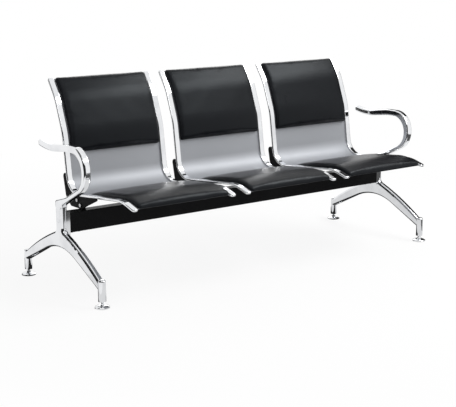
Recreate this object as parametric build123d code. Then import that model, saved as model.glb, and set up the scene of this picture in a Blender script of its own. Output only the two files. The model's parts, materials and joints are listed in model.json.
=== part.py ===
from build123d import *
import math
import os

# A waiting-room bench: three upholstered seats on one beam, with a leg and an arm at each end.
# Millimetres. X runs along the bench, the sitter faces -Y, and Z is up from the floor.
# Profile points are (y, z), with y counted from the beam's centre line.

# Seats along the beam
seat_names = ("left", "middle", "right")
seat_width = 480.0
seat_gap = 50.0

# Side profile of a seat, at the middle of the rail's thickness: runs go along y, lifts and drops along z
crease_y = 88.0
crease_lift = 48.0
crease_radius = 80.0
front_rise_run = 388.0
front_rise_lift = 36.5
front_rise_radius = 200.0
front_tip_run = 84.0
front_tip_drop = 24.0
lumbar_run = 34.0
lumbar_lift = 238.0
lumbar_radius = 280.0
shoulder_run = 50.0
shoulder_lift = 133.0
shoulder_radius = 220.0
back_top_run = 56.0
back_top_lift = 78.0

# Side rails and the sheet between them
rail_width = 26.0
rail_thickness = 10.0
rail_edge = 4.0
rail_tip_round = 10.0
sheet_thickness = 2.0
sheet_inset = 1.0
slot_depth = 6.0
slot_gap = 0.15
shell_front_inset = 16.0
shell_top_inset = 5.0

# Pads, with heights counted from the sheet's front face
back_pad_edge = 10.0
back_pad_corner = 9.0
back_pad_crown = 9.0
back_pad_drop = 82.0
back_pad_top_inset = 0.5
seat_pad_edge = 10.0
seat_pad_corner = 8.0
seat_pad_crown = 6.0
seat_pad_rear_gap = 88.0
seat_pad_taper = 170.0
seat_pad_front_inset = 4.0
rear_corner_radius = 34.0
small_corner_radius = 10.0
pad_sections = 16
pad_side_gap = 0.6
pad_rear_gap = 0.3
board_thickness = 8.0
board_margin = 30.0
seat_board_front_margin = 6.0
seat_board_rear_margin = 90.0
board_gap = 0.3

# Beam
beam_depth = 50.0
beam_height = 80.0
beam_wall = 3.0
beam_corner = 5.0
beam_top = 314.0

# Brackets under the rails, and the lugs that stand on the beam
plate_thickness = 5.0
bracket_inset = 10.0
bracket_front_y = -112.0
bracket_front_height = 10.0
bracket_waist_y = -46.0
bracket_waist_lift = 23.0
bracket_toe_y = 2.0
bracket_heel_y = 84.0
bracket_knee_y = 122.0
bracket_knee_lift = 32.0
bracket_rear_y = 144.0
bracket_tail = 4.0
bracket_bends = (14.0, 40.0, 10.0, 5.0, 60.0, 4.0)
lug_front_y = -16.0
lug_rear_y = 46.0
lug_step = 24.0
lug_height = 42.0
lug_corner = 8.0
weld_gap = 0.2

# Legs
leg_gap = 67.0
leg_width = 29.0
leg_edge = 11.0
post_depth = 50.0
post_rise = 22.0
foot_span = 580.0
arch_apex = 175.0
arch_radius = 260.0
arch_end_z = 64.0
limb_end_z = 102.0
limb_rise = 11.0
limb_root_z = 240.0
root_blend = 22.0
socket_diameter = 30.0
socket_bottom = 26.0
socket_top = 110.0
socket_dome = 8.0
flange_thickness = 8.0
flange_lip_y = 2.0
flange_lip_z = 7.0
spigot_length = 70.0
spigot_gap = 0.2

# Arms
arm_rise = 253.0
arm_front_y = -210.0
arm_bar = 27.0
arm_loop_bar = 30.0
arm_loop_round = 0.96
arm_low_bar = 19.0
arm_slope = 27.0
arm_neck = 10.0
arm_neck_radius = 12.0
arm_shoulder = 25.0
arm_shoulder_radius = 13.0
arm_bend_y = -62.0
arm_bend_radius = 150.0
arm_peak_y = -72.0
arm_peak_radius = 300.0
arm_dip_y = 68.0
arm_dip = 17.0
arm_dip_radius = 330.0
arm_tip_y = 140.0
arm_tip_rise = 15.0
arm_tip_bulge = 3.0
arm_tip_round = 10.0
arm_edge = 7.0
tongue_width = 24.0
tongue_length = 58.0
tongue_thickness = 8.0
tongue_gap = 0.3

# Levelling feet
thread_diameter = 10.0
thread_gap = 0.05
stem_top = 84.0
stem_travel = 10.0
disc_diameter = 58.0
disc_bottom = 1.5
disc_rim = 4.0
disc_top = 12.0
disc_crest_diameter = 24.0
disc_swell = 0.72
sole_diameter = 50.0
sole_thickness = 3.0
sole_gap = 0.2
collar_diameter = 18.0
collar_height = 4.0
collar_gap = 0.2
nut_lift = 0.3
foot_nut_diameter = 17.0
foot_nut_height = 6.0

# Fasteners
screw_diameter = 5.0
screw_head_diameter = 10.0
screw_head_height = 3.0
screw_reach = 6.0
screw_gap = 0.05
screw_column = 120.0
back_screw_row = 44.0
seat_screw_row = 130.0
seat_screw_setback = 262.0
bolt_diameter = 8.0
bolt_head_diameter = 14.0
bolt_head_height = 5.0
bolt_gap = 0.2
bolt_end = 2.0
nut_diameter = 15.0
nut_thickness = 6.5
lug_bolt_y = 8.0
lug_bolt_z = 15.0
lug_bolt_step_y = 24.0
lug_bolt_step_z = 17.0
leg_bolt_row = 32.0
leg_bolt_reach = 22.0
arm_bolt_diameter = 6.0
arm_bolt_head_diameter = 11.0
arm_bolt_head_height = 4.0
arm_bolt_row = 12.0
arm_bolt_drop = 7.0
arm_bolt_reach = 6.0

# Margin for picking edges and corners by their place
pick_margin = 0.01

# Places worked out from the sizes above
crease = Vector(crease_y, beam_top + crease_lift)
front_rise = crease + Vector(-front_rise_run, front_rise_lift)
front_tip = front_rise - Vector(front_tip_run, front_tip_drop)
lumbar = crease + Vector(lumbar_run, lumbar_lift)
shoulder = lumbar + Vector(shoulder_run, shoulder_lift)
back_top = shoulder + Vector(back_top_run, back_top_lift)
tip_way = (front_rise - front_tip).normalized()
rail_front = front_tip.X - rail_edge * (1 - tip_way.X) - tip_way.Y * (rail_thickness / 2 - rail_edge)
foot_rear = foot_span / 2 + disc_diameter / 2
beam_y = -(rail_front + foot_rear) / 2
seat_pitch = seat_width + seat_gap
seat_xs = [(i - (len(seat_names) - 1) / 2) * seat_pitch for i in range(len(seat_names))]
rail_inner = seat_width / 2 - rail_width
sheet_rear = sheet_inset - rail_thickness / 2
sheet_front = sheet_rear + sheet_thickness
pad_rear = sheet_front + pad_rear_gap
pad_half = rail_inner - pad_side_gap
board_half = pad_half - board_margin
leg_inner = seat_xs[-1] + seat_width / 2 + leg_gap
leg_outer = leg_inner + leg_width
leg_x = leg_inner + leg_width / 2
beam_end = leg_inner - flange_thickness
beam_z = beam_top - beam_height / 2
foot_ys = {"front": -foot_span / 2, "rear": foot_span / 2}
post_top = beam_top + post_rise
arm_top_z = post_top + arm_rise


# Drawing helpers

def along(start, end, distance):
    """The point a distance from start on the way to end."""
    return start + (end - start).normalized() * distance


def at_y(start, end, y):
    """The point of the line through start and end that has the given y."""
    return start + (end - start) * ((y - start.X) / (end.X - start.X))


def at_z(start, end, z):
    """The point of the line through start and end that has the given z."""
    return start + (end - start) * ((z - start.Y) / (end.Y - start.Y))


def normal(start, end):
    """The unit normal on the left of the way from start to end: the sitter's side of a seat."""
    way = (end - start).normalized()
    return Vector(-way.Y, way.X)


def bend_run(before, corner, after, radius):
    """How far from a corner its bend begins."""
    turn = math.acos(normal(before, corner).dot(normal(corner, after)))
    return radius * math.tan(turn / 2)


def path(points, radii, shift=0.0):
    """Straight runs joined by tangent arcs, moved to the left of their way by shift."""
    normals = [normal(a, b) for a, b in zip(points, points[1:])]
    moved = [points[0] + normals[0] * shift]
    bends = []
    for corner, before, after, radius in zip(points[1:], normals, normals[1:], radii):
        moved.append(corner + (before + after) * (shift / (1 + before.dot(after))))
        turn = before.X * after.Y - before.Y * after.X
        bends.append(radius - shift * math.copysign(1, turn))
    moved.append(points[-1] + normals[-1] * shift)
    return FilletPolyline(*moved, radius=bends) if bends else Line(*moved)


def band(points, radii, low, high):
    """The face between two parallels of a path."""
    lower = path(points, radii, low)
    upper = path(points, radii, high)
    ends = Line(upper @ 0, lower @ 0).edges() + Line(lower @ 1, upper @ 1).edges()
    return make_face(lower.edges() + upper.edges() + ends)


def drawn_in(points, start, finish):
    """The points of a path with its two ends drawn in."""
    return [along(points[0], points[1], start), *points[1:-1], along(points[-1], points[-2], finish)]


def plate(face, x_low, x_high):
    """A (y, z) face made solid between two places along the bench."""
    return extrude(Plane.YZ.offset(x_low) * face, amount=x_high - x_low, dir=(1, 0, 0))


def broad_edges(solid):
    """The edges that outline a plate's two broad faces."""
    return solid.faces().filter_by(Axis.X).edges()


def rod(diameter, length, plane):
    """A cylinder that starts on a plane and runs along its normal."""
    return plane * Cylinder(diameter / 2, length, align=(Align.CENTER, Align.CENTER, Align.MIN))


def hexagon(across_corners, length, plane):
    """A hexagonal block that starts on a plane and runs along its normal."""
    return extrude(plane * RegularPolygon(across_corners / 2, 6), amount=length)


def block(low, high):
    """A box between two corners."""
    size = Vector(*high) - Vector(*low)
    return Pos(*low) * Box(*size, align=(Align.MIN, Align.MIN, Align.MIN))


def save(name, *solids):
    """Writes one node, moved so that the origin is under the middle of the bench."""
    placed = [Pos(0, beam_y, 0) * solid for piece in solids for solid in piece.solids()]
    export_step(placed[0] if len(placed) == 1 else Compound(children=placed), f"parts/{name}.step")


# Seat profile, from the front tip to the top of the back

profile = [front_tip, front_rise, crease, lumbar, shoulder, back_top]
profile_radii = [front_rise_radius, crease_radius, lumbar_radius, shoulder_radius]
seat_run = [along(front_tip, front_rise, seat_pad_front_inset), front_rise,
            at_y(front_rise, crease, crease.X - seat_pad_rear_gap)]
seat_radii = [front_rise_radius]
back_run = [at_z(crease, lumbar, lumbar.Y - back_pad_drop), lumbar, shoulder,
            along(back_top, shoulder, back_pad_top_inset)]
back_radii = [lumbar_radius, shoulder_radius]
front_bend = bend_run(front_tip, front_rise, crease, front_rise_radius)
crease_bend = bend_run(front_rise, crease, lumbar, crease_radius)
seat_board_run = [along(front_rise, crease, front_bend + seat_board_front_margin),
                  along(seat_run[-1], front_rise, seat_board_rear_margin)]
back_board_run = drawn_in(back_run, board_margin, board_margin)
seat_up = normal(front_rise, crease)
back_out = normal(lumbar, shoulder)


def side_rail(x_outer, x_inner):
    """A bright bar with rounded edges and tips, slotted along its inner side for the sheet."""
    rail = plate(band(profile, profile_radii, -rail_thickness / 2, rail_thickness / 2),
                 min(x_outer, x_inner), max(x_outer, x_inner))
    corners = [edge for edge in rail.edges() if abs(edge.length - rail_thickness) < pick_margin]
    rail = fillet(corners, rail_tip_round)
    rail = fillet(broad_edges(rail), rail_edge)
    slot_face = band(drawn_in(profile, shell_front_inset - slot_gap, shell_top_inset - slot_gap),
                     profile_radii, sheet_rear - slot_gap, sheet_front + slot_gap)
    slot_end = x_inner + math.copysign(slot_depth, x_outer - x_inner)
    return rail - plate(slot_face, min(x_inner, slot_end), max(x_inner, slot_end))


def screw_planes():
    """Where the pad screws enter the sheet: four behind the back pad and four under the seat pad."""
    back_middle = (lumbar + shoulder) * 0.5
    seat_middle = along(crease, front_rise, seat_screw_setback)
    rows = [(back_middle, lumbar, shoulder, back_out, back_screw_row),
            (seat_middle, front_rise, crease, seat_up, seat_screw_row)]
    planes = []
    for middle, start, end, out, spacing in rows:
        way = (end - start).normalized()
        for step in (-spacing / 2, spacing / 2):
            for column in (-screw_column, screw_column):
                spot = middle + way * step + out * sheet_rear
                planes.append(Plane((column, spot.X, spot.Y), x_dir=(1, 0, 0), z_dir=(0, out.X, out.Y)))
    return planes


def seat_shell():
    """One bent sheet for the seat pan and the back, with its edges in the rails' slots."""
    half = rail_inner + slot_depth - slot_gap
    face = band(drawn_in(profile, shell_front_inset, shell_top_inset), profile_radii, sheet_rear, sheet_front)
    shell = plate(face, -half, half)
    for plane in screw_planes():
        shell -= rod(screw_diameter + 2 * bolt_gap, sheet_thickness, plane)
    return shell


def board(run, radii, grow=0.0):
    """A plywood board that follows the sheet inside a pad."""
    face = band(drawn_in(run, -grow, -grow), radii, pad_rear - grow, pad_rear + board_thickness + grow)
    return plate(face, -board_half - grow, board_half + grow)


def drilled_board(run, radii):
    """The board with the holes that its pad screws turn into."""
    solid = board(run, radii)
    reach = sheet_thickness + pad_rear_gap + screw_reach
    for plane in screw_planes():
        solid -= rod(screw_diameter + 2 * screw_gap, reach + screw_gap, plane)
    return solid


def corner_rise(distance, radius):
    """How far a quarter round has risen at a distance from its edge."""
    return math.sqrt(radius ** 2 - max(radius - distance, 0.0) ** 2)


def pad(run, radii, edge, corner, crown, end_corner, hollow, taper=0.0):
    """A crowned pad: sections across the bench, each flat on the sheet and rolled over at both ends."""
    sections = []
    for i in range(pad_sections + 1):
        place = -pad_half * math.cos(math.pi * i / pad_sections)
        distance = pad_half - abs(place)
        top = sheet_front + edge + corner_rise(distance, corner) + crown * (1 - (place / pad_half) ** 2)
        roll = top - pad_rear
        start = small_corner_radius - corner_rise(distance, small_corner_radius)
        finish = end_corner - corner_rise(distance, end_corner)
        lower = path(drawn_in(run, start, finish), radii, pad_rear)
        upper = path(drawn_in(run, start + roll, finish + max(roll, taper)), radii, top)
        nose = TangentArc(upper @ 0, lower @ 0, tangent=(upper % 0) * -1)
        tail = TangentArc(upper @ 1, lower @ 1, tangent=upper % 1)
        section = make_face(lower.edges() + upper.edges() + nose.edges() + tail.edges())
        sections.append(Plane.YZ.offset(place) * section)
    return loft(sections) - hollow


def bracket(x_low, x_high):
    """A plate that carries a rail: it follows the rail's underside and stands on the beam."""
    top_run = [at_y(front_rise, crease, bracket_front_y), crease,
               along(crease, lumbar, crease_bend + bracket_tail)]
    top = path(top_run, [crease_radius], -rail_thickness / 2 - weld_gap)
    front_low = (top @ 0).Y - bracket_front_height
    rest = FilletPolyline(
        top @ 1, (bracket_rear_y, (top @ 1).Y), (bracket_knee_y, beam_top + bracket_knee_lift),
        (bracket_heel_y, beam_top), (bracket_toe_y, beam_top),
        (bracket_waist_y, beam_top + bracket_waist_lift), ((top @ 0).X, front_low), top @ 0,
        radius=list(bracket_bends))
    solid = plate(make_face(top.edges() + rest.edges()), x_low, x_high)
    for plane in lug_bolt_planes(x_low):
        solid -= rod(bolt_diameter + 2 * bolt_gap, plate_thickness, plane)
    return solid


def lug(x_low, x_high):
    """An ear plate welded to the top of the beam beside a bracket."""
    top = beam_top + lug_height
    rear = beam_depth / 2
    outline = FilletPolyline(
        (lug_front_y, beam_top), (rear, beam_top), (lug_rear_y, beam_top + lug_step), (lug_rear_y, top),
        (lug_bolt_y + lug_corner, top), close=True, radius=[0, lug_corner, lug_corner, lug_corner, 0])
    solid = plate(make_face(outline), x_low, x_high)
    for plane in lug_bolt_planes(x_low):
        solid -= rod(bolt_diameter + 2 * bolt_gap, plate_thickness, plane)
    return solid


def lug_bolt_planes(x):
    """Where the bracket bolts cross the plates, looking along +X."""
    return [Plane((x, lug_bolt_y + i * lug_bolt_step_y, beam_top + lug_bolt_z + i * lug_bolt_step_z),
                  x_dir=(0, 1, 0), z_dir=(1, 0, 0)) for i in range(2)]


def bolt(plane, diameter, head_diameter, head_height, length):
    """A bolt whose head stands below a plane and whose shank runs up through it."""
    head = rod(head_diameter, head_height, plane.offset(-head_height))
    return head + rod(diameter, length, plane)


def seat_pieces():
    """All pieces of one seat, drawn at the middle of the bench."""
    screw_length = sheet_thickness + pad_rear_gap + screw_reach
    pieces = {
        "shell": [seat_shell()],
        "back_pad": [pad(back_run, back_radii, back_pad_edge, back_pad_corner, back_pad_crown,
                         small_corner_radius, board(back_board_run, back_radii, board_gap))],
        "seat_pad": [pad(seat_run, seat_radii, seat_pad_edge, seat_pad_corner, seat_pad_crown,
                         rear_corner_radius, board(seat_board_run, [], board_gap), seat_pad_taper)],
        "back_board": [drilled_board(back_board_run, back_radii)],
        "seat_board": [drilled_board(seat_board_run, [])],
        "pad_screws": [bolt(plane, screw_diameter, screw_head_diameter, screw_head_height, screw_length)
                       for plane in screw_planes()],
        "beam_lugs": [],
        "bracket_bolts": [],
    }
    for side, way in (("left", -1), ("right", 1)):
        outer = way * seat_width / 2
        face = outer - way * bracket_inset
        between = face - way * plate_thickness
        back = between - way * plate_thickness
        pieces[f"{side}_rail"] = [side_rail(outer, outer - way * rail_width)]
        pieces[f"{side}_bracket"] = [bracket(min(face, between), max(face, between))]
        pieces["beam_lugs"].append(lug(min(between, back), max(between, back)))
        for spot in lug_bolt_planes(face):
            inward = Plane(spot.origin, x_dir=(0, 1, 0), z_dir=(-way, 0, 0))
            grip = 2 * plate_thickness
            length = grip + nut_thickness + bolt_end
            nut = hexagon(nut_diameter, nut_thickness, inward.offset(grip))
            nut -= rod(bolt_diameter + 2 * screw_gap, nut_thickness, inward.offset(grip))
            screwed = bolt(inward, bolt_diameter, bolt_head_diameter, bolt_head_height, length)
            pieces["bracket_bolts"] += [screwed, nut]
    return pieces


# Frame pieces, drawn for the right end

def leg_bolt_planes():
    """Where the leg bolts enter the underside of the beam."""
    middle = beam_end - spigot_length / 2
    return [Plane((middle + step, 0, beam_z - beam_height / 2), x_dir=(1, 0, 0), z_dir=(0, 0, 1))
            for step in (-leg_bolt_row / 2, leg_bolt_row / 2)]


def arm_bolt_planes():
    """Where the arm bolts enter the post's inner face."""
    return [Plane((leg_inner, step, post_top - arm_bolt_drop), x_dir=(0, 1, 0), z_dir=(1, 0, 0))
            for step in (-arm_bolt_row / 2, arm_bolt_row / 2)]


def beam_tube():
    """A rectangular tube with rounded corners, open at both ends and drilled for the leg bolts."""
    outside = RectangleRounded(beam_depth, beam_height, beam_corner)
    inside = RectangleRounded(beam_depth - 2 * beam_wall, beam_height - 2 * beam_wall,
                              beam_corner - beam_wall)
    tube = plate(Pos(0, beam_z) * (outside - inside), -beam_end, beam_end)
    for plane in leg_bolt_planes():
        hole = rod(bolt_diameter + 2 * bolt_gap, beam_wall, plane)
        tube -= hole
        tube -= mirror(hole, Plane.YZ)
    return tube


def leg():
    """A casting: an arch on two foot sockets, a post, and a spigot that fills the beam's end."""
    foot = foot_span / 2
    post = post_depth / 2
    centre_z = arch_apex - arch_radius
    end_rise = arch_end_z - centre_z
    touch = math.atan2(end_rise, foot) + math.acos(arch_radius / math.hypot(foot, end_rise))
    crown = centre_z + arch_radius / math.sin(touch)
    arch = FilletPolyline((-foot, arch_end_z), (0, crown), (foot, arch_end_z), radius=arch_radius)
    limb_middle = ((foot + post) / 2, (limb_end_z + limb_root_z) / 2 + limb_rise)
    sides = []
    for way in (-1, 1):
        root = (way * post, limb_root_z)
        end = (way * foot, limb_end_z)
        sides += [Line((way * foot, arch_end_z), end), Line(root, (way * post, post_top)),
                  ThreePointArc(end, (way * limb_middle[0], limb_middle[1]), root)]
    top = Line((-post, post_top), (post, post_top))
    face = make_face(arch.edges() + [edge for side in sides for edge in side.edges()] + top.edges())
    roots = face.vertices().filter_by_position(Axis.Y, limb_root_z - pick_margin, limb_root_z + pick_margin)
    solid = plate(fillet(roots, root_blend), leg_inner, leg_outer)
    rounded = [edge for edge in broad_edges(solid) if edge.center().Z < post_top - pick_margin
               and abs(edge.center().Y) < foot - pick_margin]
    solid = fillet(rounded, leg_edge)
    for place in foot_ys.values():
        socket = rod(socket_diameter, socket_top - socket_bottom, Plane((leg_x, place, socket_bottom)))
        solid += fillet(socket.edges().sort_by(Axis.Z)[-1:], socket_dome)
    lip_y = post + flange_lip_y
    lip_z = beam_height / 2 + flange_lip_z
    solid += block((beam_end, -lip_y, beam_z - lip_z), (leg_inner + leg_edge, lip_y, beam_z + lip_z))
    spigot_y = beam_depth / 2 - beam_wall - spigot_gap
    spigot_z = beam_height / 2 - beam_wall - spigot_gap
    spigot = block((beam_end - spigot_length, -spigot_y, beam_z - spigot_z),
                   (beam_end, spigot_y, beam_z + spigot_z))
    solid += fillet(spigot.edges().filter_by(Axis.X), beam_corner - beam_wall)
    solid -= tongue(tongue_gap)
    for place in foot_ys.values():
        solid -= rod(thread_diameter + 2 * thread_gap, stem_top + stem_travel - socket_bottom,
                     Plane((leg_x, place, socket_bottom)))
    for plane in leg_bolt_planes():
        solid -= rod(bolt_diameter + 2 * screw_gap, leg_bolt_reach + bolt_end, plane)
    for plane in arm_bolt_planes():
        solid -= rod(arm_bolt_diameter + 2 * bolt_gap, leg_width, plane)
    return solid


def tongue(grow=0.0):
    """The tab by which the arm is let into the post's outer face."""
    half = tongue_width / 2 + grow
    return block((leg_outer - tongue_thickness - grow, -half, post_top - tongue_length - grow),
                 (leg_outer, half, post_top))


def arm():
    """A casting: a bar that rises from the post, loops over the front and runs back to an upturned tip."""
    post = post_depth / 2
    slope = math.tan(math.radians(arm_slope))
    low_bar = arm_low_bar / math.cos(math.radians(arm_slope))
    neck = Vector(-post, post_top + arm_neck)
    bend = Vector(arm_bend_y, neck.Y + slope * (neck.X - arm_bend_y) + low_bar)
    half_turn = math.radians(90 - arm_slope) / 2

    def upper_run(front, top, start):
        """From the rising run over the front to the tip, with the loop as round as its height allows."""
        rise = start.Y + slope * (start.X - front)
        loop = (top - rise) / (math.tan(half_turn) + 1) * arm_loop_round
        points = [(front, rise), (front, top), (arm_peak_y, top), (arm_dip_y, top - arm_dip),
                  (arm_tip_y, top - arm_dip + arm_tip_rise)]
        return points, [loop, loop, arm_peak_radius, arm_dip_radius]

    points, radii = upper_run(arm_front_y, arm_top_z, neck)
    outer = FilletPolyline((-post, post_top), neck, *points, radius=[arm_neck_radius, *radii])
    points, radii = upper_run(arm_front_y + arm_loop_bar, arm_top_z - arm_bar, bend)
    inner = FilletPolyline((post, post_top), (post, post_top + arm_shoulder), bend, *points,
                           radius=[arm_shoulder_radius, arm_bend_radius, *radii])
    tip_middle = (outer @ 1 + inner @ 1) * 0.5 + Vector(arm_tip_bulge, 0)
    tip = ThreePointArc(outer @ 1, tip_middle, inner @ 1)
    base = Line(outer @ 0, inner @ 0)
    face = make_face(outer.edges() + inner.edges() + tip.edges() + base.edges())
    face = fillet(face.vertices().sort_by(Axis.X)[-2:], arm_tip_round)
    solid = plate(face, leg_inner, leg_outer)
    rounded = [edge for edge in broad_edges(solid) if edge.center().Z > post_top + pick_margin]
    solid = fillet(rounded, arm_edge)
    solid += tongue()
    for plane in arm_bolt_planes():
        reach = leg_width - tongue_thickness + arm_bolt_reach + screw_gap
        solid -= rod(arm_bolt_diameter + 2 * screw_gap, reach, plane)
    return solid


def foot_pieces(place):
    """A levelling foot: the threaded stem with its nut and collar, the domed disc and the rubber sole."""
    axis = Pos(leg_x, place, 0)
    floor = Plane.XY
    cavity_top = sole_thickness + collar_height + 2 * collar_gap
    stem_bottom = sole_thickness + collar_gap
    stem = rod(collar_diameter, collar_height, floor.offset(stem_bottom))
    stem += rod(thread_diameter, stem_top - stem_bottom, floor.offset(stem_bottom))
    stem += hexagon(foot_nut_diameter, foot_nut_height, floor.offset(disc_top + nut_lift))
    rim = disc_diameter / 2
    crest = disc_crest_diameter / 2
    swell = ((rim + crest) / 2, disc_bottom + disc_rim + (disc_top - disc_bottom - disc_rim) * disc_swell)
    outline = Polyline((crest, disc_top), (0, disc_top), (0, disc_bottom), (rim, disc_bottom),
                       (rim, disc_bottom + disc_rim))
    dome = ThreePointArc((rim, disc_bottom + disc_rim), swell, (crest, disc_top))
    disc = revolve(Plane.XZ * make_face(outline.edges() + dome.edges()), Axis.Z)
    disc -= rod(sole_diameter + 2 * sole_gap, sole_thickness - disc_bottom, floor.offset(disc_bottom))
    disc -= rod(collar_diameter + 2 * collar_gap, cavity_top - sole_thickness, floor.offset(sole_thickness))
    disc -= rod(thread_diameter + 2 * thread_gap, disc_top, floor)
    sole = rod(sole_diameter, sole_thickness, floor)
    return {"stem": axis * stem, "disc": axis * disc, "sole": axis * sole}


def end_pieces():
    """Leg, arm, bolts and feet of the right end, named by their row and kind."""
    pieces = {
        "{side}_leg": [leg()],
        "{side}_arm": [arm()],
        "{side}_leg_bolts": [bolt(plane, bolt_diameter, bolt_head_diameter, bolt_head_height, leg_bolt_reach)
                             for plane in leg_bolt_planes()],
        "{side}_arm_bolts": [bolt(plane, arm_bolt_diameter, arm_bolt_head_diameter, arm_bolt_head_height,
                                  leg_width - tongue_thickness + arm_bolt_reach)
                             for plane in arm_bolt_planes()],
    }
    for row, place in foot_ys.items():
        for piece, solid in foot_pieces(place).items():
            pieces[row + "_{side}_" + piece] = [solid]
    return pieces


os.makedirs("parts", exist_ok=True)
for piece, solids in seat_pieces().items():
    for seat_name, seat_x in zip(seat_names, seat_xs):
        save(f"{seat_name}_{piece}", *[Pos(seat_x, 0, 0) * solid for solid in solids])
save("beam_tube", beam_tube())
for piece, solids in end_pieces().items():
    save(piece.format(side="right"), *solids)
    save(piece.format(side="left"), *[mirror(solid, Plane.YZ) for solid in solids])
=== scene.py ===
import json
import math
import bpy
import numpy as np
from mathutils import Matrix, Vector


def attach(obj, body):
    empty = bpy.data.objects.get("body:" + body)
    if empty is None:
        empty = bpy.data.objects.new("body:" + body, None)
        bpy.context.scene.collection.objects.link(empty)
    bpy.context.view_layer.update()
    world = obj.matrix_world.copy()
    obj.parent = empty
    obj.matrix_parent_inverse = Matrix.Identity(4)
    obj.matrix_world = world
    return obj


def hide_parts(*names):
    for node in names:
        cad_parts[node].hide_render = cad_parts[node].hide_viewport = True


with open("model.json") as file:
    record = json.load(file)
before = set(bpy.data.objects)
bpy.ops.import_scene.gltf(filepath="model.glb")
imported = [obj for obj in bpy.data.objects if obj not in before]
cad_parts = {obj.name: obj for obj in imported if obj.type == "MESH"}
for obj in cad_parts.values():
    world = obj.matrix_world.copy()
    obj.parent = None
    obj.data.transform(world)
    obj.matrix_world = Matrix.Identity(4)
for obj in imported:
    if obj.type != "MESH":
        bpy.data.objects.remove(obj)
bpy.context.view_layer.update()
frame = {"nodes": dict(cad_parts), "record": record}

nodes = frame["nodes"]
seatPlaces = {"left": -0.530, "middle": 0.0, "right": 0.530}  # seat centres along the beam
endNames = ("left", "right")
footNames = [f"{row}_{end}" for row in ("front", "rear") for end in endNames]
print("frame loaded:", len(nodes), "nodes")


# Small helpers for materials

def addNode(tree, kind, **settings):
    # one shader node; names with a capital are input sockets, the others are plain settings
    node = tree.nodes.new(kind)
    for name, value in settings.items():
        if name[0].isupper():
            node.inputs[name.replace("_", " ")].default_value = value
        else:
            setattr(node, name, value)
    return node


def newGroup(name, inputs, outputs):
    # an empty node group with named sockets, given as (socket type, default) and socket type
    tree = bpy.data.node_groups.new(name, "ShaderNodeTree")
    for label, (kind, value) in inputs.items():
        socket = tree.interface.new_socket(label, in_out="INPUT", socket_type=kind)
        if value is not None:
            socket.default_value = value
    for label, kind in outputs.items():
        tree.interface.new_socket(label, in_out="OUTPUT", socket_type=kind)
    return tree, tree.nodes.new("NodeGroupInput"), tree.nodes.new("NodeGroupOutput")


def newMaterial(name, **shaderValues):
    # a material with one Principled shader and the object's own coordinates
    material = bpy.data.materials.new(name)
    material.use_nodes = True
    tree = material.node_tree
    shader = tree.nodes["Principled BSDF"]
    for label, value in shaderValues.items():
        shader.inputs[label.replace("_", " ")].default_value = value
    place = tree.nodes.new("ShaderNodeTexCoord")
    return material, tree, shader, place.outputs["Object"]


def useGroup(tree, group, place, **values):
    # a shared group placed in a material with its own values
    node = tree.nodes.new("ShaderNodeGroup")
    node.node_tree = group
    for label, value in values.items():
        node.inputs[label.replace("_", " ")].default_value = value
    tree.links.new(place, node.inputs["Place"])
    return node


def colourRamp(tree, source, stops):
    # a ramp of colours or greys over a value
    ramp = tree.nodes.new("ShaderNodeValToRGB")
    while len(ramp.color_ramp.elements) < len(stops):
        ramp.color_ramp.elements.new(0.5)
    for element, (position, colour) in zip(ramp.color_ramp.elements, stops):
        element.position = position
        element.color = (*colour, 1)
    tree.links.new(source, ramp.inputs["Fac"])
    return ramp.outputs["Color"]


def rangeOf(tree, source, low, high):
    # a value from 0 to 1 stretched to a range
    node = addNode(tree, "ShaderNodeMapRange")
    node.inputs["To Min"].default_value = low
    node.inputs["To Max"].default_value = high
    tree.links.new(source, node.inputs["Value"])
    return node.outputs["Result"]


def bumpInto(tree, shader, height, strength, distance):
    # a bump from a height in the shader's normal
    bump = addNode(tree, "ShaderNodeBump", Strength=strength, Distance=distance)
    tree.links.new(height, bump.inputs["Height"])
    tree.links.new(bump.outputs["Normal"], shader.inputs["Normal"])


def tint(tree, shader, source, stops):
    # the base colour from a ramp over a value
    tree.links.new(colourRamp(tree, source, stops), shader.inputs["Base Color"])


def gloss(tree, shader, source, span):
    # the roughness from a value stretched over a span
    tree.links.new(rangeOf(tree, source, *span), shader.inputs["Roughness"])


# Shared effects

def makeHandling():
    # smudges are a wide noise, scratches a noise drawn out one way, ripple a slow noise; all from 0 to 1
    tree, inside, outside = newGroup(
        "handling",
        {"Place": ("NodeSocketVector", None), "Smudge Scale": ("NodeSocketFloat", 14.0),
         "Scratch Scale": ("NodeSocketFloat", 260.0)},
        {"Smudge": "NodeSocketFloat", "Scratch": "NodeSocketFloat", "Ripple": "NodeSocketFloat"})
    smudge = addNode(tree, "ShaderNodeTexNoise", Detail=5.0, Roughness=0.62)
    tree.links.new(inside.outputs["Place"], smudge.inputs["Vector"])
    tree.links.new(inside.outputs["Smudge Scale"], smudge.inputs["Scale"])
    stretch = addNode(tree, "ShaderNodeMapping")
    stretch.inputs["Rotation"].default_value = (0.35, 0.2, 0.5)
    stretch.inputs["Scale"].default_value = (1.0, 0.06, 1.0)
    tree.links.new(inside.outputs["Place"], stretch.inputs["Vector"])
    scratch = addNode(tree, "ShaderNodeTexNoise", Detail=3.0, Roughness=0.7)
    tree.links.new(stretch.outputs["Vector"], scratch.inputs["Vector"])
    tree.links.new(inside.outputs["Scratch Scale"], scratch.inputs["Scale"])
    sharpen = addNode(tree, "ShaderNodeMapRange")
    sharpen.inputs["From Min"].default_value = 0.58
    sharpen.inputs["From Max"].default_value = 0.78
    tree.links.new(scratch.outputs["Fac"], sharpen.inputs["Value"])
    ripple = addNode(tree, "ShaderNodeTexNoise", Scale=11.0, Detail=0.0, Roughness=0.4)
    tree.links.new(inside.outputs["Place"], ripple.inputs["Vector"])
    tree.links.new(smudge.outputs["Fac"], outside.inputs["Smudge"])
    tree.links.new(sharpen.outputs["Result"], outside.inputs["Scratch"])
    tree.links.new(ripple.outputs["Fac"], outside.inputs["Ripple"])
    return tree


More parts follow.
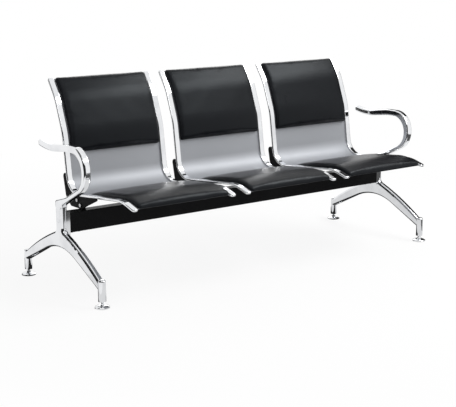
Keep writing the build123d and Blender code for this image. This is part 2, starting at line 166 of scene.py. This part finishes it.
def makeEdgeWear():
    # worn edges: where the surface is sharply convex, broken up by noise; 1 is fully worn
    tree, inside, outside = newGroup(
        "edgeWear",
        {"Place": ("NodeSocketVector", None), "Reach": ("NodeSocketFloat", 0.56)},
        {"Worn": "NodeSocketFloat"})
    shape = tree.nodes.new("ShaderNodeNewGeometry")
    spots = addNode(tree, "ShaderNodeTexNoise", Scale=90.0, Detail=6.0, Roughness=0.7)
    tree.links.new(inside.outputs["Place"], spots.inputs["Vector"])
    edge = addNode(tree, "ShaderNodeMapRange")
    edge.inputs["From Max"].default_value = 0.66
    tree.links.new(inside.outputs["Reach"], edge.inputs["From Min"])
    tree.links.new(shape.outputs["Pointiness"], edge.inputs["Value"])
    broken = addNode(tree, "ShaderNodeMath", operation="MULTIPLY")
    tree.links.new(edge.outputs["Result"], broken.inputs[0])
    tree.links.new(spots.outputs["Fac"], broken.inputs[1])
    tree.links.new(broken.outputs["Value"], outside.inputs["Worn"])
    return tree


handling = makeHandling()
edgeWear = makeEdgeWear()


# Finishes

chromeLook = {"dull": (0.74, 0.75, 0.77), "colour": (0.84, 0.85, 0.865), "roughness": (0.03, 0.09),
              "bump": (0.3, 0.0006)}
chromeTones = [(0.35, chromeLook["dull"]), (0.55, chromeLook["colour"])]


def makeChrome():
    # polished plating: faint smudges dull it, and the polished casting is never quite flat
    material, tree, shader, place = newMaterial("brightChrome", Metallic=1.0)
    marks = useGroup(tree, handling, place, Smudge_Scale=9.0, Scratch_Scale=420.0)
    tint(tree, shader, marks.outputs["Smudge"], chromeTones)
    gloss(tree, shader, marks.outputs["Smudge"], chromeLook["roughness"])
    bumpInto(tree, shader, marks.outputs["Ripple"], *chromeLook["bump"])
    return material


threadLook = {"pitch": 0.0015, "depth": 0.0004, "from": 0.0185, "roughness": (0.10, 0.22)}  # from the nut up


def makeThread():
    # plated thread: rings one pitch apart up the stem, starting above its nut
    material, tree, shader, place = newMaterial("threadedChrome", Metallic=1.0)
    marks = useGroup(tree, handling, place, Smudge_Scale=30.0, Scratch_Scale=420.0)
    tint(tree, shader, marks.outputs["Smudge"], chromeTones)
    gloss(tree, shader, marks.outputs["Smudge"], threadLook["roughness"])
    rings = addNode(tree, "ShaderNodeTexWave", bands_direction="Z", wave_profile="TRI",
                    Scale=math.pi / (10 * threadLook["pitch"]))
    tree.links.new(place, rings.inputs["Vector"])
    axes = tree.nodes.new("ShaderNodeSeparateXYZ")
    tree.links.new(place, axes.inputs["Vector"])
    above = addNode(tree, "ShaderNodeMath", operation="GREATER_THAN")
    above.inputs[1].default_value = threadLook["from"]
    tree.links.new(axes.outputs["Z"], above.inputs[0])
    ridge = addNode(tree, "ShaderNodeMath", operation="MULTIPLY")
    tree.links.new(rings.outputs["Fac"], ridge.inputs[0])
    tree.links.new(above.outputs["Value"], ridge.inputs[1])
    bumpInto(tree, shader, ridge.outputs["Value"], 1.0, threadLook["depth"])
    return material


sheetLook = {"colour": (0.44, 0.452, 0.478), "flake": (0.35, 0.361, 0.383), "roughness": (0.58, 0.66),
             "metal": 0.75, "coat": 0.12, "coatRoughness": 0.25, "flakes": 2600.0, "peel": 900.0,
             "bump": (0.06, 0.0002)}


def makeSilverSheet():
    # silver paint: fine flakes of two greys under a satin coat, with a faint orange peel
    material, tree, shader, place = newMaterial(
        "satinSilver", Metallic=sheetLook["metal"], Coat_Weight=sheetLook["coat"],
        Coat_Roughness=sheetLook["coatRoughness"])
    marks = useGroup(tree, handling, place, Smudge_Scale=6.0, Scratch_Scale=300.0)
    flakes = addNode(tree, "ShaderNodeTexVoronoi", Scale=sheetLook["flakes"])
    tree.links.new(place, flakes.inputs["Vector"])
    tint(tree, shader, flakes.outputs["Distance"], [(0.1, sheetLook["colour"]), (0.8, sheetLook["flake"])])
    gloss(tree, shader, marks.outputs["Smudge"], sheetLook["roughness"])
    peel = addNode(tree, "ShaderNodeTexNoise", Scale=sheetLook["peel"], Detail=2.0)
    tree.links.new(place, peel.inputs["Vector"])
    bumpInto(tree, shader, peel.outputs["Fac"], *sheetLook["bump"])
    return material


paintLook = {"colour": (0.0042, 0.0042, 0.0046), "worn": (0.007, 0.007, 0.0075), "roughness": (0.40, 0.46),
             "specular": 0.05, "wornFrom": 0.55, "pebble": 1100.0, "bump": (0.10, 0.0002)}


def makeBlackPaint():
    # powder coat: a pebbled satin black, a touch lighter towards the sharp edges
    material, tree, shader, place = newMaterial("satinBlackCoat", Specular_IOR_Level=paintLook["specular"])
    marks = useGroup(tree, handling, place, Smudge_Scale=11.0, Scratch_Scale=240.0)
    worn = useGroup(tree, edgeWear, place, Reach=paintLook["wornFrom"])
    tint(tree, shader, worn.outputs["Worn"], [(0.15, paintLook["colour"]), (0.6, paintLook["worn"])])
    gloss(tree, shader, marks.outputs["Smudge"], paintLook["roughness"])
    pebble = addNode(tree, "ShaderNodeTexNoise", Scale=paintLook["pebble"], Detail=2.0)
    tree.links.new(place, pebble.inputs["Vector"])
    bumpInto(tree, shader, pebble.outputs["Fac"], *paintLook["bump"])
    return material


leatherLook = {"colour": (0.0075, 0.008, 0.0100), "crease": (0.004, 0.004, 0.005), "roughness": (0.25, 0.33),
               "specular": 0.14, "sheen": (0.86, 0.95, 1.0, 1.0), "pebble": 620.0, "pebbleRound": 0.28,
               "pore": 2400.0, "poreShare": 0.3, "wander": 160.0, "stray": 0.0016, "bump": (0.22, 0.00035)}


def makeLeather():
    # leather: pebbles are rounded cells with narrow creases between them, and pores are finer noise on top
    material, tree, shader, place = newMaterial(
        "blackLeather", Specular_IOR_Level=leatherLook["specular"], Specular_Tint=leatherLook["sheen"])
    wander = addNode(tree, "ShaderNodeTexNoise", Scale=leatherLook["wander"], Detail=2.0)
    tree.links.new(place, wander.inputs["Vector"])
    shift = addNode(tree, "ShaderNodeVectorMath", operation="MULTIPLY_ADD")
    shift.inputs[1].default_value = [leatherLook["stray"]] * 3
    tree.links.new(wander.outputs["Color"], shift.inputs[0])
    tree.links.new(place, shift.inputs[2])
    pebbles = addNode(tree, "ShaderNodeTexVoronoi", feature="DISTANCE_TO_EDGE", Scale=leatherLook["pebble"])
    tree.links.new(shift.outputs["Vector"], pebbles.inputs["Vector"])
    pores = addNode(tree, "ShaderNodeTexNoise", Scale=leatherLook["pore"], Detail=3.0)
    tree.links.new(place, pores.inputs["Vector"])
    rounded = addNode(tree, "ShaderNodeMapRange", interpolation_type="SMOOTHSTEP")
    rounded.inputs["From Max"].default_value = leatherLook["pebbleRound"]
    tree.links.new(pebbles.outputs["Distance"], rounded.inputs["Value"])
    height = addNode(tree, "ShaderNodeMath", operation="MULTIPLY_ADD")
    height.inputs[1].default_value = leatherLook["poreShare"]
    tree.links.new(pores.outputs["Fac"], height.inputs[0])
    tree.links.new(rounded.outputs["Result"], height.inputs[2])
    # the creases between the pebbles are painted darker: painted shade in the grain's creases
    tones = [(0.0, leatherLook["crease"]), (0.6, leatherLook["colour"])]
    tint(tree, shader, rounded.outputs["Result"], tones)
    marks = useGroup(tree, handling, place, Smudge_Scale=7.0, Scratch_Scale=200.0)
    gloss(tree, shader, marks.outputs["Smudge"], leatherLook["roughness"])
    bumpInto(tree, shader, height.outputs["Value"], *leatherLook["bump"])
    return material


plywoodLook = {"dark": (0.36, 0.22, 0.11), "light": (0.62, 0.44, 0.26), "roughness": 0.7,
               "stretch": (3.0, 60.0, 700.0), "bump": (0.2, 0.0005)}


def makePlywood():
    # plywood: thin plies of two browns across the thickness, with grain drawn out along the board
    material, tree, shader, place = newMaterial("plywood", Roughness=plywoodLook["roughness"])
    stretch = addNode(tree, "ShaderNodeMapping")
    stretch.inputs["Scale"].default_value = plywoodLook["stretch"]
    tree.links.new(place, stretch.inputs["Vector"])
    grain = addNode(tree, "ShaderNodeTexNoise", Scale=1.0, Detail=6.0, Roughness=0.6)
    tree.links.new(stretch.outputs["Vector"], grain.inputs["Vector"])
    tint(tree, shader, grain.outputs["Fac"], [(0.3, plywoodLook["dark"]), (0.7, plywoodLook["light"])])
    bumpInto(tree, shader, grain.outputs["Fac"], *plywoodLook["bump"])
    return material


rubberLook = {"colour": (0.018, 0.018, 0.019), "dust": (0.05, 0.049, 0.047), "roughness": (0.75, 0.92),
              "specular": 0.3, "bump": (0.3, 0.0006)}


def makeRubber():
    # moulded rubber: near black with dusty patches
    material, tree, shader, place = newMaterial("footRubber", Specular_IOR_Level=rubberLook["specular"])
    marks = useGroup(tree, handling, place, Smudge_Scale=40.0, Scratch_Scale=500.0)
    tint(tree, shader, marks.outputs["Smudge"], [(0.35, rubberLook["colour"]), (0.75, rubberLook["dust"])])
    gloss(tree, shader, marks.outputs["Smudge"], rubberLook["roughness"])
    bumpInto(tree, shader, marks.outputs["Smudge"], *rubberLook["bump"])
    return material


boltLook = {"dull": (0.42, 0.42, 0.43), "bright": (0.62, 0.62, 0.63), "roughness": (0.26, 0.5),
            "bump": (0.1, 0.0002)}


def makeBoltSteel():
    # zinc plate: grey metal with fine scratches and a little dulling
    material, tree, shader, place = newMaterial("zincSteel", Metallic=1.0)
    marks = useGroup(tree, handling, place, Smudge_Scale=60.0, Scratch_Scale=700.0)
    tint(tree, shader, marks.outputs["Smudge"], [(0.3, boltLook["dull"]), (0.7, boltLook["bright"])])
    gloss(tree, shader, marks.outputs["Scratch"], boltLook["roughness"])
    bumpInto(tree, shader, marks.outputs["Scratch"], *boltLook["bump"])
    return material


finishes = {"chrome": makeChrome(), "silver_sheet": makeSilverSheet(), "black_steel": makeBlackPaint(),
            "black_leather": makeLeather(), "plywood": makePlywood(), "black_rubber": makeRubber(),
            "bolt_steel": makeBoltSteel()}
slotOf = {part["node"]: part["material_slot"] for part in frame["record"]["subparts"]}
ownFinish = dict.fromkeys([f"{foot}_stem" for foot in footNames], makeThread())
for name, node in nodes.items():
    node.data.materials.clear()
    node.data.materials.append(ownFinish.get(name, finishes[slotOf[name]]))
print("finishes made:", len(finishes))


# Pads: worked out flat, swelled with cloth, then laid along the seat's side profile

profileLook = {  # corners of the side profile and the radius at each, as in the seat's rails
    "corners": [(-0.384, 0.3745), (-0.300, 0.3985), (0.088, 0.362),
                (0.122, 0.600), (0.172, 0.733), (0.228, 0.811)],
    "radii": [0.200, 0.080, 0.280, 0.220], "beamY": 0.0327143, "arcSteps": 24}


def profileCurve():
    # straight runs joined by tangent arcs: length along the curve, points, and the sitter's side normals
    corners = np.array(profileLook["corners"]) + (profileLook["beamY"], 0.0)
    ways = np.diff(corners, axis=0)
    ways /= np.linalg.norm(ways, axis=1)[:, None]
    points, normals = [corners[:1]], [np.array([[-ways[0, 1], ways[0, 0]]])]
    for corner, before, after, radius in zip(corners[1:-1], ways[:-1], ways[1:], profileLook["radii"]):
        turn = math.atan2(before[0] * after[1] - before[1] * after[0], before @ after)
        reach = radius * math.tan(abs(turn) / 2)
        start = corner - before * reach
        side = math.copysign(1.0, turn)
        centre = start + np.array([-before[1], before[0]]) * side * radius
        angles = np.linspace(0.0, turn, profileLook["arcSteps"])
        spoke = start - centre
        spokes = np.stack([spoke[0] * np.cos(angles) - spoke[1] * np.sin(angles),
                           spoke[0] * np.sin(angles) + spoke[1] * np.cos(angles)], axis=1)
        points.append(centre + spokes)
        normals.append(-spokes / radius * side)
    points.append(corners[-1:])
    normals.append(np.array([[-ways[-1, 1], ways[-1, 0]]]))
    points = np.concatenate(points)
    normals = np.concatenate(normals)
    lengths = np.concatenate([[0.0], np.cumsum(np.linalg.norm(np.diff(points, axis=0), axis=1))])
    return lengths, points, normals


curveLengths, curvePoints, curveNormals = profileCurve()


def layAlong(flat, seatX):
    # flat (across, along, height) points laid on the profile: the curve's point plus height times its normal
    at = [np.interp(flat[:, 1], curveLengths, column) for column in (*curvePoints.T, *curveNormals.T)]
    lift = flat[:, 2]
    return np.stack([flat[:, 0] + seatX, at[0] + at[2] * lift, at[1] + at[3] * lift], axis=1)


backFoot = 0.518  # height of the back pads' lower edge
backInset = 0.0005  # the back pads stop this far short of the profile's end
creaseMid = 1 + profileLook["arcSteps"] * 3 // 2  # the curve's point between seat and back
backStart = float(np.interp(backFoot, curvePoints[creaseMid:, 1], curveLengths[creaseMid:]))
seatEnd = float(np.interp(profileLook["beamY"], curvePoints[:creaseMid, 0], curveLengths[:creaseMid]))
seatPad = {"start": 0.004, "end": seatEnd, "edge": 0.010, "round": 0.008, "crown": 0.006,
           "startCorner": 0.010, "endCorner": 0.034, "taper": 0.170, "pucker": 0.0003, "fill": 0.85}
backPad = {"start": backStart, "end": float(curveLengths[-1]) - backInset, "edge": 0.010, "round": 0.009,
           "crown": 0.009, "startCorner": 0.010, "endCorner": 0.010, "taper": 0.0, "pucker": 0.0006,
           "fill": 0.9}
padShape = {"half": 0.2134, "rear": -0.0017, "sheetFront": -0.002, "shrink": 0.0022, "sideShrink": 0.00088,
            "leastHeight": 0.00001, "swellCap": 0.0035, "voxel": 0.005, "pressure": 4.0, "stretch": 25.0,
            "bend": 1.5, "frames": 20, "wallSteps": 5, "acrossSteps": 91, "turnSteps": 17, "alongSteps": 70}
puckerLook = {"reach": 0.022, "fullHeight": 0.012, "lengths": (0.013, 0.021, 0.034),
              "slowLengths": (0.09, 0.16, 0.27), "slowHeight": 0.00012, "phases": 6.28, "firstSeed": 11}


def quarterRise(distance, radius):
    # how far a quarter round has risen at a distance from its edge
    return np.sqrt(radius ** 2 - np.maximum(radius - distance, 0.0) ** 2)


def gridFaces(columns, rows, offset=0):
    # quads of a grid stored row after row, as corner indices
    low = (np.arange(rows - 1)[:, None] * columns + np.arange(columns - 1)[None, :]).ravel() + offset
    return np.stack([low, low + 1, low + 1 + columns, low + columns], axis=1)


def meshFrom(name, points, faces):
    # a mesh object from whole arrays
    mesh = bpy.data.meshes.new(name)
    mesh.from_pydata(points.tolist(), [], faces.tolist())
    mesh.update()
    piece = bpy.data.objects.new(name, mesh)
    bpy.context.scene.collection.objects.link(piece)
    return piece


def flatPad(name, pad):
    # over the top: a wall of the edge height, a quarter round and a crown across
    # along: a quarter round at the front, and at the rear an arc that falls from the level top over the taper
    half = padShape["half"] - padShape["sideShrink"]
    wall = np.linspace(0.0, 1.0, padShape["wallSteps"] + 1)[:-1]
    ramp = (1 - np.cos(np.linspace(0.0, math.pi, padShape["acrossSteps"]))) / 2
    across = np.concatenate([np.full(wall.size, -half), -half + 2 * half * ramp, np.full(wall.size, half)])
    inward = half - np.abs(across)
    crown = pad["edge"] + quarterRise(inward, pad["round"]) + pad["crown"] * (1 - (across / half) ** 2)
    share = np.concatenate([wall, np.ones(ramp.size), wall[::-1]])
    base = padShape["rear"]
    height = padShape["sheetFront"] + crown - base - padShape["shrink"]
    top = np.maximum(height * share, padShape["leastHeight"])
    start = pad["start"] + pad["startCorner"] - quarterRise(inward, pad["startCorner"])
    finish = pad["end"] - pad["endCorner"] + quarterRise(inward, pad["endCorner"])
    fall = np.maximum(top, pad["taper"] * share)
    arcRadius = (fall ** 2 + top ** 2) / (2 * top)
    turn = np.linspace(0.0, 1.0, padShape["turnSteps"])[:, None]
    noseTurn = math.pi / 2 * (1 - turn)
    tailTurn = 2 * np.arctan(top / fall) * turn
    run = np.linspace(0.0, 1.0, padShape["alongSteps"] + 2)[1:-1, None]
    nose = start + top * (1 - np.sin(noseTurn))
    level = (start + top) + (finish - start - top - fall) * run
    tail = finish - fall + arcRadius * np.sin(tailTurn)
    along = np.concatenate([nose, level, tail])
    tailDrop = arcRadius * (1 - np.cos(tailTurn))
    rise = np.concatenate([top * np.cos(noseTurn), np.ones_like(run) * top, top - tailDrop])
    rows, columns = along.shape
    sideways = np.broadcast_to(across, along.shape)
    upper = np.stack([sideways, along, base + rise], axis=2).reshape(-1, 3)
    share = np.linspace(0.0, 1.0, rows)[:, None]
    lowerAlong = start + (finish - start) * share
    lower = np.stack([sideways, lowerAlong, np.full(along.shape, base)], axis=2).reshape(-1, 3)
    faces = np.concatenate([gridFaces(columns, rows), gridFaces(columns, rows, rows * columns)[:, ::-1]])
    return meshFrom(name, np.concatenate([upper, lower]), faces)


def swell(piece):
    # a closed skin from voxels, blown up a little as cloth, with each point's move held under a cap
    scene = bpy.context.scene
    bpy.context.view_layer.objects.active = piece
    remesh = piece.modifiers.new("skin", "REMESH")
    remesh.mode = "VOXEL"
    remesh.voxel_size = padShape["voxel"]
    bpy.ops.object.modifier_apply(modifier=remesh.name)
    count = len(piece.data.vertices)
    before = np.empty(count * 3, np.float32)
    piece.data.vertices.foreach_get("co", before)
    before = before.reshape(-1, 3)
    cloth = piece.modifiers.new("cover", "CLOTH")
    cloth.settings.use_pressure = True
    cloth.settings.uniform_pressure_force = padShape["pressure"]
    cloth.settings.effector_weights.gravity = 0.0
    cloth.settings.tension_stiffness = padShape["stretch"]
    cloth.settings.compression_stiffness = padShape["stretch"]
    cloth.settings.bending_stiffness = padShape["bend"]
    cloth.point_cache.frame_start = 1
    cloth.point_cache.frame_end = padShape["frames"]
    for step in range(1, padShape["frames"] + 1):
        scene.frame_set(step)
    bpy.ops.object.modifier_apply(modifier=cloth.name)
    after = np.empty(count * 3, np.float32)
    piece.data.vertices.foreach_get("co", after)
    move = after.reshape(-1, 3) - before
    length = np.maximum(np.linalg.norm(move, axis=1), 1e-9)[:, None]
    scene.frame_set(1)
    return before + move * np.minimum(1.0, padShape["swellCap"] / length)


def puckered(flat, pad, seed):
    # soft waves along the ends and sides where the cover is pulled over the board, and a slow unevenness
    waves = np.random.default_rng(seed)
    moved = flat.copy()
    lift = np.clip((flat[:, 2] - padShape["rear"]) / puckerLook["fullHeight"], 0.0, 1.0)
    for near, across in ((flat[:, 1] - pad["start"], 0), (pad["end"] - flat[:, 1], 0),
                         (padShape["half"] - np.abs(flat[:, 0]), 1)):
        wave = 0.0
        for length in puckerLook["lengths"]:
            phase = waves.uniform(0, puckerLook["phases"])
            wave = wave + np.cos(flat[:, across] * 2 * math.pi / length + phase) / len(puckerLook["lengths"])
        moved[:, 2] += pad["pucker"] * wave * np.exp(-(near / puckerLook["reach"]) ** 2) * lift
    for length in puckerLook["slowLengths"]:
        turn, phase = waves.uniform(0, puckerLook["phases"], 2)
        slant = flat[:, 0] * math.cos(turn) + flat[:, 1] * math.sin(turn)
        moved[:, 2] += puckerLook["slowHeight"] * np.cos(slant * 2 * math.pi / length + phase) * lift
    moved[:, 2] = np.maximum(moved[:, 2], padShape["rear"])
    moved[:, 0] = np.clip(moved[:, 0], -padShape["half"], padShape["half"])
    return moved


def makePads(kind, pad):
    # one swelled pad, laid on all three seats with its own puckers on each
    source = flatPad(kind, pad)
    swelled = swell(source)
    faces = np.empty(len(source.data.polygons) * 4, np.int32)
    source.data.polygons.foreach_get("vertices", faces)
    for seed, (seat, seatX) in enumerate(seatPlaces.items()):
        points = layAlong(puckered(swelled, pad, seed + puckerLook["firstSeed"]), seatX)
        piece = meshFrom(f"{seat}{kind[0].upper()}{kind[1:]}", points, faces.reshape(-1, 4))
        piece.data.polygons.foreach_set("use_smooth", np.ones(len(piece.data.polygons), bool))
        smooth = piece.modifiers.new("smooth", "SUBSURF")
        smooth.levels = smooth.render_levels = 1
        piece.data.materials.append(finishes["black_leather"])
        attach(piece, "frame")
        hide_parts(f"{seat}_{kind.replace('Pad', '_pad')}")
    bpy.data.objects.remove(source)


makePads("seatPad", seatPad)
makePads("backPad", backPad)
print("pads laid")


# Floor, light and camera

stageLook = {"size": 14.0, "steps": 9, "colour": (0.93, 0.93, 0.93), "fadeFrom": 1.3, "fadeTo": 3.0,
             "lift": 0.86, "roughness": 0.9}


def makeFloor():
    # a flat square whose colour goes to plain white away from the bench, so no horizon shows
    steps = stageLook["steps"]
    span = np.linspace(-stageLook["size"], stageLook["size"], steps)
    x, y = np.meshgrid(span, span)
    corners = np.stack([x.ravel(), y.ravel(), np.zeros(x.size)], axis=1)
    floor = meshFrom("floor", corners, gridFaces(steps, steps))
    material = bpy.data.materials.new("paleFloor")
    material.use_nodes = True
    tree = material.node_tree
    shader = tree.nodes["Principled BSDF"]
    shader.inputs["Base Color"].default_value = (*stageLook["colour"], 1)
    shader.inputs["Roughness"].default_value = stageLook["roughness"]
    shader.inputs["Specular IOR Level"].default_value = 0.0
    place = tree.nodes.new("ShaderNodeTexCoord")
    far = addNode(tree, "ShaderNodeVectorMath", operation="LENGTH")
    tree.links.new(place.outputs["Object"], far.inputs[0])
    fade = addNode(tree, "ShaderNodeMapRange", interpolation_type="SMOOTHSTEP")
    fade.inputs["From Min"].default_value = stageLook["fadeFrom"]
    fade.inputs["From Max"].default_value = stageLook["fadeTo"]
    fade.inputs["To Min"].default_value = stageLook["lift"]
    tree.links.new(far.outputs["Value"], fade.inputs["Value"])
    seen = seenRays(tree)
    share = addNode(tree, "ShaderNodeMath", operation="MULTIPLY")
    tree.links.new(fade.outputs["Result"], share.inputs[0])
    tree.links.new(seen, share.inputs[1])
    white = addNode(tree, "ShaderNodeEmission", Strength=1.0)
    mix = tree.nodes.new("ShaderNodeMixShader")
    tree.links.new(share.outputs["Value"], mix.inputs["Fac"])
    tree.links.new(shader.outputs["BSDF"], mix.inputs[1])
    tree.links.new(white.outputs["Emission"], mix.inputs[2])
    tree.links.new(mix.outputs["Shader"], tree.nodes["Material Output"].inputs["Surface"])
    floor.data.materials.append(material)


def seenRays(tree):
    # 1 for rays from the camera, a mirror or glass, 0 for the light that spreads
    path = tree.nodes.new("ShaderNodeLightPath")
    first = addNode(tree, "ShaderNodeMath", operation="MAXIMUM")
    second = addNode(tree, "ShaderNodeMath", operation="MAXIMUM")
    tree.links.new(path.outputs["Is Camera Ray"], first.inputs[0])
    tree.links.new(path.outputs["Is Glossy Ray"], first.inputs[1])
    tree.links.new(first.outputs["Value"], second.inputs[0])
    tree.links.new(path.outputs["Is Transmission Ray"], second.inputs[1])
    return second.outputs["Value"]


lightLook = {"world": 0.55, "lamps": {
    "overhead": {"at": (1.8, -1.4, 2.9), "aim": (0.0, 0.0, 0.3), "size": (2.5, 1.0), "power": 70.0},
    "leftFill": {"at": (-2.9, -1.9, 1.5), "aim": (0.0, 0.0, 0.4), "size": (1.6, 2.0), "power": 22.0},
    "rearRim": {"at": (1.6, 2.6, 1.9), "aim": (0.0, 0.1, 0.5), "size": (2.0, 1.4), "power": 18.0}}}


def makeLight():
    # a white surround, at full strength for the camera and for reflections, and three soft lamps
    world = bpy.data.worlds.new("studio")
    bpy.context.scene.world = world
    world.use_nodes = True
    tree = world.node_tree
    back = tree.nodes["Background"]
    back.inputs["Color"].default_value = (1, 1, 1, 1)
    tree.links.new(rangeOf(tree, seenRays(tree), lightLook["world"], 1.0), back.inputs["Strength"])
    for name, look in lightLook["lamps"].items():
        lamp = bpy.data.lights.new(name, "AREA")
        lamp.shape = "RECTANGLE"
        lamp.size, lamp.size_y = look["size"]
        lamp.energy = look["power"]
        holder = bpy.data.objects.new(name, lamp)
        holder.location = look["at"]
        holder.rotation_euler = (Vector(look["aim"]) - Vector(look["at"])).to_track_quat("-Z", "Y").to_euler()
        bpy.context.scene.collection.objects.link(holder)


cameraLook = {"azimuth": -37.496, "elevation": 12.156, "target": (0.0, 0.0827143, 0.2295), "distance": 4.9666,
              "lens": 89.79, "sensor": 36.0}


def makeCamera():
    # the photograph's viewing angle: back from the target along azimuth and elevation
    a, e = math.radians(cameraLook["azimuth"]), math.radians(cameraLook["elevation"])
    back = Vector((math.sin(a) * math.cos(e), -math.cos(a) * math.cos(e), math.sin(e)))
    data = bpy.data.cameras.new("camera")
    data.sensor_fit = "HORIZONTAL"
    data.sensor_width = cameraLook["sensor"]
    data.lens = cameraLook["lens"]
    camera = bpy.data.objects.new("camera", data)
    camera.location = Vector(cameraLook["target"]) + back * cameraLook["distance"]
    camera.rotation_euler = (-back).to_track_quat("-Z", "Y").to_euler()
    bpy.context.scene.collection.objects.link(camera)
    bpy.context.scene.camera = camera


# grey flags on arcs about the bench: bearing from the front in degrees, then radius and height at both edges
flagLook = {
    "camera": {"bearing": (-117.0, -4.0), "low": (2.3, 0.02), "high": (2.3, 1.5), "grey": 0.015},
    "ceiling": {"bearing": (-132.0, -70.0), "low": (3.6, 2.7), "high": (1.5, 2.7), "grey": 0.05},
    "rear": {"bearing": (-158.0, -133.0), "low": (1.95, 0.02), "high": (1.95, 0.7), "grey": 0.03},
    "right": {"bearing": (83.0, 114.0), "low": (1.6, 0.02), "high": (1.6, 1.4), "grey": 0.03},
    "front": {"bearing": (-40.0, 75.0), "low": (1.1, 0.0008), "high": (2.6, 0.0008), "grey": 0.1},
    # the under sheet lies flat beneath the bench: painted floor shade under the bench, seen only in
    # reflections
    "under": {"bearing": (-180.0, 180.0), "low": (0.02, 0.0008), "high": (1.1, 0.0008), "grey": 0.80}}
flagSteps = 25
# dark strips on the floor beside each leg: painted floor shade by the legs, seen only in reflections
legShadeStripLook = {"across": (-0.13, 0.12), "along": (-0.25, 0.60), "height": 0.001, "grey": 0.02}  # by each leg


def makeFlag(name, points, grey):
    # a glowing grey sheet between two rows of points, seen in reflections alone
    flag = meshFrom(f"{name}Flag", points, gridFaces(len(points) // 2, 2))
    material = bpy.data.materials.new(f"{name}Grey")
    material.use_nodes = True
    shader = material.node_tree.nodes["Principled BSDF"]
    shader.inputs["Base Color"].default_value = (0, 0, 0, 1)
    shader.inputs["Specular IOR Level"].default_value = 0.0
    shader.inputs["Emission Color"].default_value = (1, 1, 1, 1)
    shader.inputs["Emission Strength"].default_value = grey
    flag.data.materials.append(material)
    flag.visible_camera = flag.visible_diffuse = flag.visible_shadow = False


def makeFlags():
    # arcs about the bench draw the dark lines that a studio leaves in chrome; the under sheet and a strip
    # beside each leg draw painted floor shade into the chrome's reflections
    for name, look in flagLook.items():
        turn = np.radians(np.linspace(*look["bearing"], flagSteps))
        edges = [np.stack([np.sin(turn) * radius, -np.cos(turn) * radius, np.full(flagSteps, height)], axis=1)
                 for radius, height in (look["low"], look["high"])]
        makeFlag(name, np.concatenate(edges), look["grey"])
    for end in endNames:
        legX = np.mean([corner[0] for corner in nodes[f"{end}_leg"].bound_box])
        corners = [(legX + x, y, legShadeStripLook["height"])
                   for y in legShadeStripLook["along"] for x in legShadeStripLook["across"]]
        makeFlag(f"{end}Strip", np.array(corners), legShadeStripLook["grey"])


makeFloor()
makeFlags()
makeLight()
makeCamera()
bpy.context.scene.view_settings.view_transform = "Standard"
print("stage set")

bpy.context.view_layer.update()
